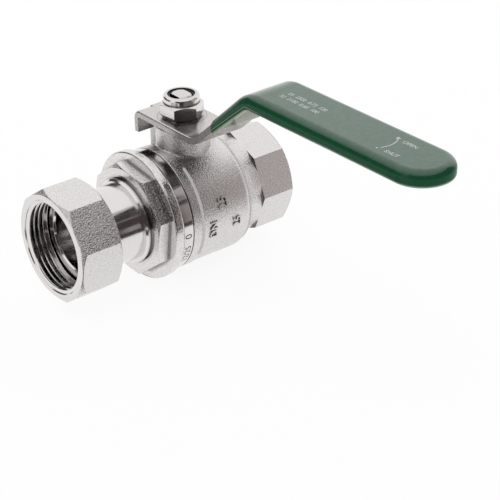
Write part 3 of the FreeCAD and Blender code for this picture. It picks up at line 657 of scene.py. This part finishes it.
def softbox(name, place, aim, width, height):
    """A rectangular lamp that faces a point and doesn't show in what is shiny."""
    data = bpy.data.lights.new(name, "AREA")
    data.shape = "RECTANGLE"
    data.size = width
    data.size_y = height
    data.energy = LAMP_RADIANCE * math.pi * width * height
    lamp = bpy.data.objects.new(name, data)
    lamp.location = place
    lamp.rotation_euler = (Vector(aim) - Vector(place)).to_track_quat("-Z", "Y").to_euler()
    lamp.visible_glossy = False
    bpy.context.scene.collection.objects.link(lamp)


def hang_card(bm, name, colour, one_sided=False):
    """Hangs a glowing card that neither the camera nor matt surfaces see."""
    card, tree, surface = studio_piece(bm, name)
    glow = add(tree, "ShaderNodeEmission", {"Color": (*colour, 1.0)})
    if one_sided:
        behind = add(tree, "ShaderNodeNewGeometry").outputs["Backfacing"]
        clear = add(tree, "ShaderNodeBsdfTransparent")
        glow = add(tree, "ShaderNodeMixShader", {0: behind, 1: glow.outputs[0], 2: clear.outputs[0]})
    tree.links.new(glow.outputs[0], surface)
    card.visible_camera = False
    card.visible_diffuse = False
    card.visible_shadow = False


def flag(name, azimuths, elevations, reach, colour):
    """A curved studio flag round the stem. Azimuths run from +X to +Y."""
    low, high = (math.radians(angle) for angle in elevations)
    start, end = (math.radians(angle) for angle in azimuths)
    bm = bmesh.new()
    rows = 8
    points = []
    for k in range(rows + 1):
        angle = low + (high - low) * k / rows
        points.append(bm.verts.new((reach * math.cos(angle), 0.0, reach * math.sin(angle))))
    edges = [bm.edges.new(pair) for pair in zip(points[:-1], points[1:])]
    bmesh.ops.rotate(bm, verts=points, cent=(0, 0, 0), matrix=Matrix.Rotation(start, 3, "Z"))
    bmesh.ops.spin(bm, geom=points + edges, cent=(0, 0, 0), axis=(0, 0, 1), angle=end - start, steps=32,
                   use_duplicate=False)
    bmesh.ops.translate(bm, verts=bm.verts, vec=(STEM_X, 0.0, 0.0))
    hang_card(bm, name, colour)


def near_card(name, middle, width, height, tilt, colour):
    """A flat card close to the valve, which glows on one side. Tilt turns it about X."""
    bm = bmesh.new()
    bmesh.ops.create_grid(bm, x_segments=1, y_segments=1, size=0.5)
    bmesh.ops.scale(bm, verts=bm.verts, vec=(width, height, 1.0))
    bmesh.ops.rotate(bm, verts=bm.verts, cent=(0, 0, 0), matrix=Matrix.Rotation(math.radians(tilt), 3, "X"))
    bmesh.ops.translate(bm, verts=bm.verts, vec=middle)
    hang_card(bm, name, colour, one_sided=True)


def standing_card(name, x, z, width, height, colour, forward=0.0):
    near_card(name, (x, CARD_Y + forward, z), width, height, -90, colour)


def floor_card(name, x, y, width, height, floor_z):
    near_card(name, (x, y, floor_z + CARD_GAP), width, height, 0, FLAG_DARK)


def set_lights(floor_z):
    """One broad lamp above and one behind, with flags and cards that shape what the metal shows."""
    softbox("top_softbox", place=(-0.25, -0.15, 1.25), aim=(STEM_X, -0.03, 0.0), width=0.9, height=0.8)
    softbox("back_softbox", place=(0.75, 0.95, 0.75), aim=(STEM_X, 0.0, 0.0), width=1.2, height=0.9)
    flag("front_flag_low", FRONT_AZIMUTHS, (2.0, 24.0), FLAG_REACH, FLAG_DARK)
    flag("front_flag_streak", FRONT_AZIMUTHS, (24.0, 29.0), FLAG_REACH + 0.01, FLAG_GREY)
    flag("front_flag_high", FRONT_AZIMUTHS, (29.0, 42.0), FLAG_REACH, FLAG_DARK)
    standing_card("tail_card", -0.028, 0.0085, 0.016, 0.023, BAND_GREY, forward=CARD_GAP)
    standing_card("band_card", -0.003, 0.017, 0.018, 0.058, BAND_GREY, forward=CARD_GAP)
    standing_card("dark_card", -0.147, 0.0185, 0.306, 0.091, FLAG_DARK)
    standing_card("grey_card", 0.153, 0.0715, 0.294, 0.197, CARD_GREY)
    floor_card("floor_card_left", -0.172, -0.048, 0.095, 0.085, floor_z)
    floor_card("floor_card_right", 0.066, -0.118, 0.042, 0.036, floor_z)
    flag("front_flag_top", (-62.0, -8.0), (49.0, 52.0), FLAG_REACH, CARD_GREY)
    flag("rear_flag", (95.0, 165.0), (1.0, 28.0), FLAG_REACH, FLAG_DARK)
    flag("rear_card", (112.0, 160.0), (-4.0, 12.0), 0.36, FLAG_DARK)


def keep_piece(bm, name, body, material, soft_angle=None):
    """A finished piece: its mesh, finish, material slot and the body it moves with."""
    mesh = bpy.data.meshes.new(name)
    bm.to_mesh(mesh)
    bm.free()
    if soft_angle is not None:
        mesh.shade_smooth()
        mesh.set_sharp_from_angle(angle=math.radians(soft_angle))
    piece = bpy.data.objects.new(name, mesh)
    bpy.context.scene.collection.objects.link(piece)
    mesh.materials.append(material)
    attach(piece, body)


def cut_flat(bm, place, keep_low):
    """Cuts a mesh square to the pipe line at a place and closes the cut."""
    geom = bm.verts[:] + bm.edges[:] + bm.faces[:]
    done = bmesh.ops.bisect_plane(bm, geom=geom, dist=1e-7, plane_co=(place, 0, 0), plane_no=(1, 0, 0),
                                  clear_outer=keep_low, clear_inner=not keep_low)
    rim = [item for item in done["geom_cut"] if isinstance(item, bmesh.types.BMEdge) and item.is_boundary]
    bmesh.ops.holes_fill(bm, edges=rim, sides=0)


def thread_ridge(name, body, material, major_r, mouth_x, span):
    """Inside thread: one ridge of inch form wound along the pipe line and cut square at both ends."""
    low_x, high_x = (mouth_x + end for end in span)
    bm = bmesh.new()
    first_x = low_x - 1.5 * THREAD_PITCH
    corners = [bm.verts.new((first_x + along * THREAD_PITCH, major_r + out * THREAD_DEEP, 0.0))
               for along, out in THREAD_FORM]
    profile = bm.faces.new(corners)
    turns = math.ceil((high_x - low_x) / THREAD_PITCH) + 3
    bmesh.ops.spin(bm, geom=corners + list(profile.edges) + [profile], cent=(0, 0, 0), axis=(1, 0, 0),
                   dvec=(THREAD_PITCH / THREAD_STEPS, 0, 0), angle=2 * math.pi * turns,
                   steps=THREAD_STEPS * turns, use_duplicate=False)
    cut_flat(bm, low_x, False)
    cut_flat(bm, high_x, True)
    bmesh.ops.recalc_face_normals(bm, faces=bm.faces)
    keep_piece(bm, name, body, material, soft_angle=35.0)


def casting_bead(name, material, x, radius, high, angles):
    """Raised bead round the front of the body in a near-white matt finish that paints a bright highlight line;
    angles run up from level.
    """
    bm = bmesh.new()
    points = []
    steps = 8
    for k in range(steps + 1):
        turn = math.pi * k / steps
        points.append(bm.verts.new((x - BEAD_WIDE / 2 * math.cos(turn), -(radius + high * math.sin(turn)), 0.0)))
    edges = [bm.edges.new(pair) for pair in zip(points[:-1], points[1:])]
    start, end = (math.radians(-angle) for angle in angles)
    bmesh.ops.rotate(bm, verts=points, cent=(0, 0, 0), matrix=Matrix.Rotation(start, 3, "X"))
    bmesh.ops.spin(bm, geom=points + edges, cent=(0, 0, 0), axis=(1, 0, 0), angle=end - start, steps=72,
                   use_duplicate=False)
    bmesh.ops.recalc_face_normals(bm, faces=bm.faces)
    keep_piece(bm, name, "valve", material, soft_angle=40.0)


def words(text, size, thick, stroke=0.0):
    """Lettering as a mesh, its middle at the origin, its strokes made wider by a share of its size."""
    curve = bpy.data.curves.new(text, "FONT")
    curve.body = text
    curve.size = size
    curve.extrude = thick / 2
    curve.offset = size * stroke
    curve.align_x = "CENTER"
    curve.align_y = "CENTER"
    drawn = bpy.data.objects.new(text, curve)
    bpy.context.scene.collection.objects.link(drawn)
    graph = bpy.context.evaluated_depsgraph_get()
    mesh = bpy.data.meshes.new_from_object(drawn.evaluated_get(graph))
    bm = bmesh.new()
    bm.from_mesh(mesh)
    bpy.data.objects.remove(drawn)
    bpy.data.curves.remove(curve)
    bpy.data.meshes.remove(mesh)
    bmesh.ops.remove_doubles(bm, verts=bm.verts, dist=1e-7)
    return bm


def round_words(text, name, material, size, thick, x, angle, radius):
    """Lettering round the valve, square to the pipe line: right runs up the front, up points from the outlet."""
    bm = words(text, size, thick)
    start = math.radians(angle)
    for vert in bm.verts:
        along, up, out = vert.co
        turn = start + along / radius
        reach = radius + out
        vert.co = (x - up, -reach * math.cos(turn), reach * math.sin(turn))
    keep_piece(bm, name, "valve", material)


def mark_band(text, name, ink, size, x, angle):
    round_words(text, name, ink, size, BAND_MARK_THICK, x, angle, BAND_R)


def mark_casting(text, name, finish, size, x, angle):
    round_words(text, name, finish, size, CAST_MARK_THICK, x, angle, BODY_SKIN_R)


def handle_words(text, name, ink, x, y, top):
    """Lettering on the handle: right runs to the handle end, up to the outlet side."""
    bm = words(text, PRINT_SIZE, PRINT_THICK, stroke=PRINT_STROKE)
    turn = Matrix(((0, 1, 0), (-1, 0, 0), (0, 0, 1))).to_4x4()
    bmesh.ops.transform(bm, matrix=Matrix.Translation((x, y, top)) @ turn, verts=bm.verts)
    keep_piece(bm, name, "lever_set", ink)


def arrow_end(bm, corners, size, angle, top):
    """A flat head or dot on the arrow's line."""
    flat = bmesh.ops.create_cone(bm, cap_ends=True, segments=corners, radius1=size, radius2=size,
                                 depth=PRINT_THICK)
    there = Matrix.Rotation(angle, 4, "Z") @ Matrix.Translation((ARROW_R, 0.0, top))
    bmesh.ops.transform(bm, matrix=there, verts=flat["verts"])


def turn_arrow(ink, top):
    """Curved arrow with a dot at its tail, which shows the way the lever opens."""
    bm = bmesh.new()
    tail, tip = ARROW_ENDS
    inner, outer = ARROW_R - ARROW_HALF, ARROW_R + ARROW_HALF
    low, high = top - PRINT_THICK / 2, top + PRINT_THICK / 2
    corners = [(inner, low), (outer, low), (outer, high), (inner, high)]
    face = bm.faces.new([bm.verts.new((r, 0.0, z)) for r, z in corners])
    bmesh.ops.rotate(bm, verts=face.verts, cent=(0, 0, 0), matrix=Matrix.Rotation(tail, 3, "Z"))
    bmesh.ops.spin(bm, geom=list(face.verts) + list(face.edges) + [face], cent=(0, 0, 0), axis=(0, 0, 1),
                   angle=tip - tail, steps=24, use_duplicate=False)
    arrow_end(bm, 3, 1.35 * MM, tip + math.radians(5.0), top)
    arrow_end(bm, 16, 0.5 * MM, tail - math.radians(9.0), top)
    bmesh.ops.translate(bm, verts=bm.verts, vec=ARROW_MIDDLE)
    bmesh.ops.recalc_face_normals(bm, faces=bm.faces)
    keep_piece(bm, "turn_arrow", "lever_set", ink)


def make_groups():
    """The effects that materials share."""
    return {"span": span_group(), "grain": grain_group(), "rings": ring_group(), "handling": handling_group(),
            "edge": edge_group(), "hollow": hollow_group()}


def body_nickel(groups, joint_x, outlet_x):
    """The body's casting, turned at the joint and at the outlet's face."""
    turned = [(joint_x - 1 * MM, joint_x + 0.5 * MM), (outlet_x - 0.6 * MM, outlet_x + 1 * MM)]
    return cast_and_turned("body_nickel", groups, turned, BODY_BORE_R, seams=[joint_x], hollow_reach=10.0 * MM)


def cap_nickel(groups, joint_x):
    """The cap's casting, coarser and shinier than the body, with its machined band."""
    band_x = joint_x - BAND_LONG
    return cast_and_turned("cap_nickel", groups, [(band_x, joint_x + 9 * MM)], CAP_BORE_R,
                           seams=[joint_x, band_x], rough=0.15, grain=0.80 * MM, deep=0.10 * MM, dark=0.84,
                           hollow_reach=3.5 * MM)


def nut_nickel(groups, front_x):
    """The union nut's casting, turned on its front face."""
    return cast_and_turned("nut_nickel", groups, [(front_x - 1 * MM, front_x + 0.25 * MM)], NUT_BORE_R,
                           rough=0.27, grain=0.62 * MM, deep=0.24 * MM, dark=0.88)


def make_finishes(groups, joint_x, outlet_x, nut_x):
    """The finish of each sub-part."""
    seat = plain_plastic("seat_plastic", groups, SEAT_WHITE, 0.35)
    rubber = plain_plastic("black_rubber", groups, RUBBER_BLACK, 0.5, grain=0.3 * MM)
    return {
        "valve_body": body_nickel(groups, joint_x, outlet_x),
        "end_cap": cap_nickel(groups, joint_x),
        "union_nut": nut_nickel(groups, nut_x),
        "union_tail": turned_nickel("turned_nickel", groups),
        "ball": turned_nickel("polished_ball", groups, rough=0.04, rings_deep=0.0001 * MM),
        "stem": upright_nickel("stem_nickel", groups, 0.16),
        "lever_lock_nut": upright_nickel("bright_nut", groups, 0.08),
        "lever": lever_steel(groups),
        "lever_sleeve": sleeve_plastic(groups),
        "lock_nut_insert": plain_plastic("insert_plastic", groups, INSERT_BLACK, 0.45),
        "seat_ring_inlet": seat, "seat_ring_outlet": seat, "stem_thrust_washer": seat,
        "stem_o_ring_lower": rubber, "stem_o_ring_upper": rubber, "end_cap_seal": rubber,
    }


def dress_nodes(nodes, finishes):
    for name, node in nodes.items():
        node.data.materials.clear()
        node.data.materials.append(finishes[name])


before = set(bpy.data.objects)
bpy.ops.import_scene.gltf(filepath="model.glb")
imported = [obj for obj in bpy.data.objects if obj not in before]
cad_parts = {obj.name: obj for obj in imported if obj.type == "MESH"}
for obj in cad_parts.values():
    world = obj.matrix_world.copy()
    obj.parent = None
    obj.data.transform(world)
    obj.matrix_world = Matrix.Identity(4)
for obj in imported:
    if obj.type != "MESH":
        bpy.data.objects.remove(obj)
cad_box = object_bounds()
bpy.context.scene.view_settings.view_transform = "Standard"
floor_z = cad_box[0][2]
place_camera()
light_world()
lay_floor(floor_z)
set_lights(floor_z)

nut_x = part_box("union_nut")[0][0]
body_low, body_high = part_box("valve_body")
joint_x, outlet_x = body_low[0], body_high[0]
handle_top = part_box("lever_sleeve")[1][2]

groups = make_groups()
finishes = make_finishes(groups, joint_x, outlet_x, nut_x)
dress_nodes(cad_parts, finishes)

turned = finishes["union_tail"]
thread_ridge("nut_thread", "nut", turned, NUT_THREAD_R, nut_x, NUT_THREAD_SPAN)
thread_ridge("outlet_thread", "valve", turned, OUTLET_THREAD_R, outlet_x, OUTLET_THREAD_SPAN)

# Near-white matt finish for the beads, a painted highlight along the body's steps.
painted_highlight = turned_nickel("highlight_nickel", groups, rough=0.30, base=BEAD_HIGHLIGHT_WHITE, metal=0.05)
casting_bead("body_bead_left", painted_highlight, x=joint_x + 5.3 * MM, radius=27.85 * MM, high=0.35 * MM, angles=(-32.0, 58.0))
casting_bead("body_bead_right", painted_highlight, x=-25.6 * MM, radius=26.25 * MM, high=0.45 * MM, angles=(-60.0, 80.0))

silver = print_ink()
handle_words("OPEN", "open_print", silver, x=-37.8 * MM, y=-138.7 * MM, top=handle_top)
handle_words("SHUT", "shut_print", silver, x=-48.2 * MM, y=-139.6 * MM, top=handle_top)
turn_arrow(silver, handle_top)
handle_words("25  2500  0.72  120", "print_line_one", silver, x=-40.9 * MM, y=-83.2 * MM, top=handle_top)
handle_words("32  2100  0.60  100", "print_line_two", silver, x=-44.7 * MM, y=-82.4 * MM, top=handle_top)

engraved = plain_plastic("engraved_dark", groups, ENGRAVED_DARK, 0.5)
mark_band("0", "band_zero", engraved, size=5.0 * MM, x=-60.9 * MM, angle=-3.8)
mark_band("12/25", "band_number", engraved, size=4.4 * MM, x=-60.7 * MM, angle=-24.5)
cast_skin = finishes["valve_body"]
mark_casting("25", "cast_number", cast_skin, size=6.5 * MM, x=-41.0 * MM, angle=16.0)
mark_casting("DN", "cast_letters", cast_skin, size=5.5 * MM, x=-46.8 * MM, angle=-7.0)
mark_casting("25", "cast_number_low", cast_skin, size=5.5 * MM, x=-34.0 * MM, angle=-7.0)
